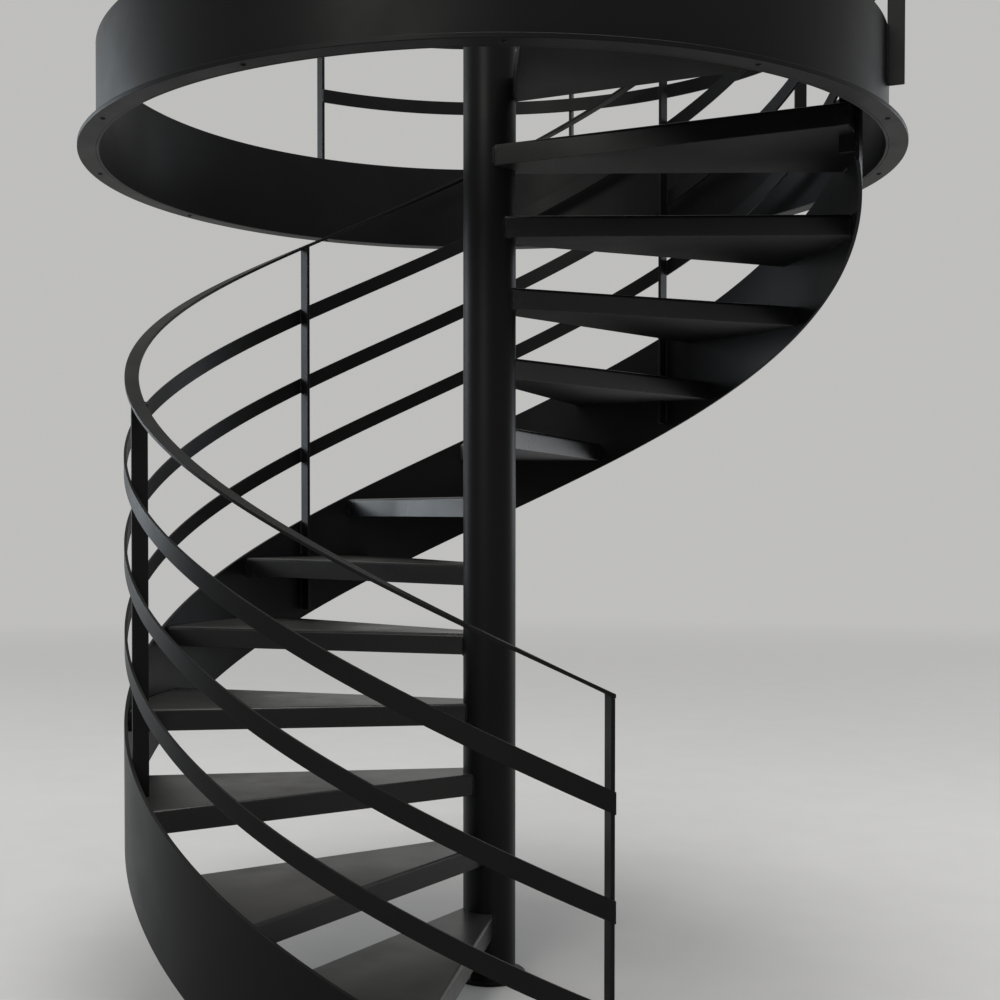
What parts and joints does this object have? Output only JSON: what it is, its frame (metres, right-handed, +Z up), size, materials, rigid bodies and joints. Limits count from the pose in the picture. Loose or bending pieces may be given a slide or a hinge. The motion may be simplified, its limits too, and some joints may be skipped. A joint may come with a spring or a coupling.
{
  "type": "spiral staircase",
  "caption": "Spiral stair of closed steel box treads between a centre column and a helical outer stringer, with flat-bar guard rails and a steel-lined round floor opening.",
  "frame": {"origin": "centre of the base plate's underside, on the lower floor at the column's axis", "axes": "+Z up the column; the stair starts at the front (-Y) and climbs clockwise seen from above, over -X and +Y to the landing between +X and -Y"},
  "size_m": [2.4038, 2.4038, 3.719],
  "materials": {
    "black_steel": "satin black paint",
    "tread_plate": "dark grey semi-gloss coating"
  },
  "bodies": {
    "root": {"base_plate": "black_steel", "ceiling_flange": "black_steel", "centre_column": "black_steel", "column_cap": "black_steel", "landing": "tread_plate", "landing_handrail": "black_steel", "landing_post": "black_steel", "landing_rail_1": "black_steel", "landing_rail_2": "black_steel", "landing_rail_3": "black_steel", "opening_lining": "black_steel", "stair_handrail": "black_steel", "stair_post_1": "black_steel", "stair_post_2": "black_steel", "stair_post_3": "black_steel", "stair_post_4": "black_steel", "stair_post_5": "black_steel", "stair_rail_1": "black_steel", "stair_rail_2": "black_steel", "stair_rail_3": "black_steel", "stringer": "black_steel", "tread_01": "tread_plate", "tread_02": "tread_plate", "tread_03": "tread_plate", "tread_04": "tread_plate", "tread_05": "tread_plate", "tread_06": "tread_plate", "tread_07": "tread_plate", "tread_08": "tread_plate", "tread_09": "tread_plate", "tread_10": "tread_plate", "tread_11": "tread_plate", "tread_12": "tread_plate", "well_handrail": "black_steel", "well_post_1": "black_steel", "well_post_2": "black_steel", "well_post_3": "black_steel", "well_post_4": "black_steel", "well_rail_1": "black_steel", "well_rail_2": "black_steel", "well_rail_3": "black_steel"}
  },
  "joints": []
}
